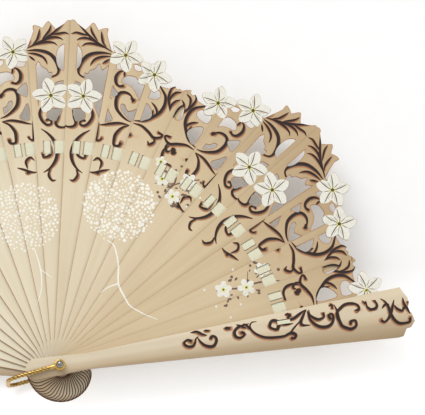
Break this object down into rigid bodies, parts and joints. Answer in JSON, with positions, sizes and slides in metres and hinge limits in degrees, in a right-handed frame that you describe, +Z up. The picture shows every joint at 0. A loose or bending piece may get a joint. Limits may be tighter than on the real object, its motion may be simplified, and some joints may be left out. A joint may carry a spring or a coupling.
{
  "type": "brise folding fan",
  "caption": "Open pierced wooden folding fan with burnt scrolls, painted flowers, a threaded ribbon and a gilt shackle on its rivet.",
  "frame": {"origin": "on the rivet's axis, at the lowest point of its lower head, where the open fan meets the table", "axes": "+Z up along the rivet's axis, +Y up the middle of the open fan, +X towards the front guard"},
  "size_m": [0.4166, 0.2317, 0.0411],
  "materials": {
    "blade_wood": "satin",
    "guard_wood": "satin",
    "ribbon": "satin",
    "steel": "polished",
    "gilt_brass": "polished"
  },
  "bodies": {
    "base": {"back_guard": "guard_wood", "ribbon_22": "ribbon", "rivet_pin": "steel", "rivet_head_top": "steel", "rivet_head_bottom": "steel", "washer_bottom": "gilt_brass"},
    "leaf_21": {"blade_21": "blade_wood", "ribbon_21": "ribbon"},
    "leaf_20": {"blade_20": "blade_wood", "ribbon_20": "ribbon"},
    "leaf_19": {"blade_19": "blade_wood", "ribbon_19": "ribbon"},
    "leaf_18": {"blade_18": "blade_wood", "ribbon_18": "ribbon"},
    "leaf_17": {"blade_17": "blade_wood", "ribbon_17": "ribbon"},
    "leaf_16": {"blade_16": "blade_wood", "ribbon_16": "ribbon"},
    "leaf_15": {"blade_15": "blade_wood", "ribbon_15": "ribbon"},
    "leaf_14": {"blade_14": "blade_wood", "ribbon_14": "ribbon"},
    "leaf_13": {"blade_13": "blade_wood", "ribbon_13": "ribbon"},
    "leaf_12": {"blade_12": "blade_wood", "ribbon_12": "ribbon"},
    "leaf_11": {"blade_11": "blade_wood", "ribbon_11": "ribbon"},
    "leaf_10": {"blade_10": "blade_wood", "ribbon_10": "ribbon"},
    "leaf_09": {"blade_09": "blade_wood", "ribbon_09": "ribbon"},
    "leaf_08": {"blade_08": "blade_wood", "ribbon_08": "ribbon"},
    "leaf_07": {"blade_07": "blade_wood", "ribbon_07": "ribbon"},
    "leaf_06": {"blade_06": "blade_wood", "ribbon_06": "ribbon"},
    "leaf_05": {"blade_05": "blade_wood", "ribbon_05": "ribbon"},
    "leaf_04": {"blade_04": "blade_wood", "ribbon_04": "ribbon"},
    "leaf_03": {"blade_03": "blade_wood", "ribbon_03": "ribbon"},
    "leaf_02": {"blade_02": "blade_wood", "ribbon_02": "ribbon"},
    "leaf_01": {"blade_01": "blade_wood", "ribbon_01": "ribbon"},
    "front_leaf": {"front_guard": "guard_wood", "ribbon_00": "ribbon", "washer_top": "gilt_brass"},
    "bail": {"shackle": "gilt_brass"}
  },
  "joints": [
    {"name": "fold_21", "type": "hinge", "parent": "base", "child": "leaf_21", "pos_m": [0, 0, 0], "axis": [0, 0, 1], "range_deg": [0, 7.5]},
    {"name": "fold_20", "type": "hinge", "parent": "leaf_21", "child": "leaf_20", "pos_m": [0, 0, 0], "axis": [0, 0, 1], "range_deg": [0, 7.5]},
    {"name": "fold_19", "type": "hinge", "parent": "leaf_20", "child": "leaf_19", "pos_m": [0, 0, 0], "axis": [0, 0, 1], "range_deg": [0, 7.5]},
    {"name": "fold_18", "type": "hinge", "parent": "leaf_19", "child": "leaf_18", "pos_m": [0, 0, 0], "axis": [0, 0, 1], "range_deg": [0, 7.5]},
    {"name": "fold_17", "type": "hinge", "parent": "leaf_18", "child": "leaf_17", "pos_m": [0, 0, 0], "axis": [0, 0, 1], "range_deg": [0, 7.5]},
    {"name": "fold_16", "type": "hinge", "parent": "leaf_17", "child": "leaf_16", "pos_m": [0, 0, 0], "axis": [0, 0, 1], "range_deg": [0, 7.5]},
    {"name": "fold_15", "type": "hinge", "parent": "leaf_16", "child": "leaf_15", "pos_m": [0, 0, 0], "axis": [0, 0, 1], "range_deg": [0, 7.5]},
    {"name": "fold_14", "type": "hinge", "parent": "leaf_15", "child": "leaf_14", "pos_m": [0, 0, 0], "axis": [0, 0, 1], "range_deg": [0, 7.5]},
    {"name": "fold_13", "type": "hinge", "parent": "leaf_14", "child": "leaf_13", "pos_m": [0, 0, 0], "axis": [0, 0, 1], "range_deg": [0, 7.5]},
    {"name": "fold_12", "type": "hinge", "parent": "leaf_13", "child": "leaf_12", "pos_m": [0, 0, 0], "axis": [0, 0, 1], "range_deg": [0, 7.5]},
    {"name": "fold_11", "type": "hinge", "parent": "leaf_12", "child": "leaf_11", "pos_m": [0, 0, 0], "axis": [0, 0, 1], "range_deg": [0, 7.5]},
    {"name": "fold_10", "type": "hinge", "parent": "leaf_11", "child": "leaf_10", "pos_m": [0, 0, 0], "axis": [0, 0, 1], "range_deg": [0, 7.5]},
    {"name": "fold_09", "type": "hinge", "parent": "leaf_10", "child": "leaf_09", "pos_m": [0, 0, 0], "axis": [0, 0, 1], "range_deg": [0, 7.5]},
    {"name": "fold_08", "type": "hinge", "parent": "leaf_09", "child": "leaf_08", "pos_m": [0, 0, 0], "axis": [0, 0, 1], "range_deg": [0, 7.5]},
    {"name": "fold_07", "type": "hinge", "parent": "leaf_08", "child": "leaf_07", "pos_m": [0, 0, 0], "axis": [0, 0, 1], "range_deg": [0, 7.5]},
    {"name": "fold_06", "type": "hinge", "parent": "leaf_07", "child": "leaf_06", "pos_m": [0, 0, 0], "axis": [0, 0, 1], "range_deg": [0, 7.5]},
    {"name": "fold_05", "type": "hinge", "parent": "leaf_06", "child": "leaf_05", "pos_m": [0, 0, 0], "axis": [0, 0, 1], "range_deg": [0, 7.5]},
    {"name": "fold_04", "type": "hinge", "parent": "leaf_05", "child": "leaf_04", "pos_m": [0, 0, 0], "axis": [0, 0, 1], "range_deg": [0, 7.5]},
    {"name": "fold_03", "type": "hinge", "parent": "leaf_04", "child": "leaf_03", "pos_m": [0, 0, 0], "axis": [0, 0, 1], "range_deg": [0, 7.5]},
    {"name": "fold_02", "type": "hinge", "parent": "leaf_03", "child": "leaf_02", "pos_m": [0, 0, 0], "axis": [0, 0, 1], "range_deg": [0, 7.5]},
    {"name": "fold_01", "type": "hinge", "parent": "leaf_02", "child": "leaf_01", "pos_m": [0, 0, 0], "axis": [0, 0, 1], "range_deg": [0, 7.5]},
    {"name": "fold_00", "type": "hinge", "parent": "leaf_01", "child": "front_leaf", "pos_m": [0, 0, 0], "axis": [0, 0, 1], "range_deg": [0, 7.5]},
    {"name": "shackle_swing", "type": "hinge", "parent": "base", "child": "bail", "pos_m": [0, 0, 0.02], "axis": [0, 0, 1], "range_deg": [-4, 155]}
  ],
  "couplings": [
    {"joint": "fold_20", "follows": "fold_21", "ratio": 1},
    {"joint": "fold_19", "follows": "fold_21", "ratio": 1},
    {"joint": "fold_18", "follows": "fold_21", "ratio": 1},
    {"joint": "fold_17", "follows": "fold_21", "ratio": 1},
    {"joint": "fold_16", "follows": "fold_21", "ratio": 1},
    {"joint": "fold_15", "follows": "fold_21", "ratio": 1},
    {"joint": "fold_14", "follows": "fold_21", "ratio": 1},
    {"joint": "fold_13", "follows": "fold_21", "ratio": 1},
    {"joint": "fold_12", "follows": "fold_21", "ratio": 1},
    {"joint": "fold_11", "follows": "fold_21", "ratio": 1},
    {"joint": "fold_10", "follows": "fold_21", "ratio": 1},
    {"joint": "fold_09", "follows": "fold_21", "ratio": 1},
    {"joint": "fold_08", "follows": "fold_21", "ratio": 1},
    {"joint": "fold_07", "follows": "fold_21", "ratio": 1},
    {"joint": "fold_06", "follows": "fold_21", "ratio": 1},
    {"joint": "fold_05", "follows": "fold_21", "ratio": 1},
    {"joint": "fold_04", "follows": "fold_21", "ratio": 1},
    {"joint": "fold_03", "follows": "fold_21", "ratio": 1},
    {"joint": "fold_02", "follows": "fold_21", "ratio": 1},
    {"joint": "fold_01", "follows": "fold_21", "ratio": 1},
    {"joint": "fold_00", "follows": "fold_21", "ratio": 1}
  ]
}
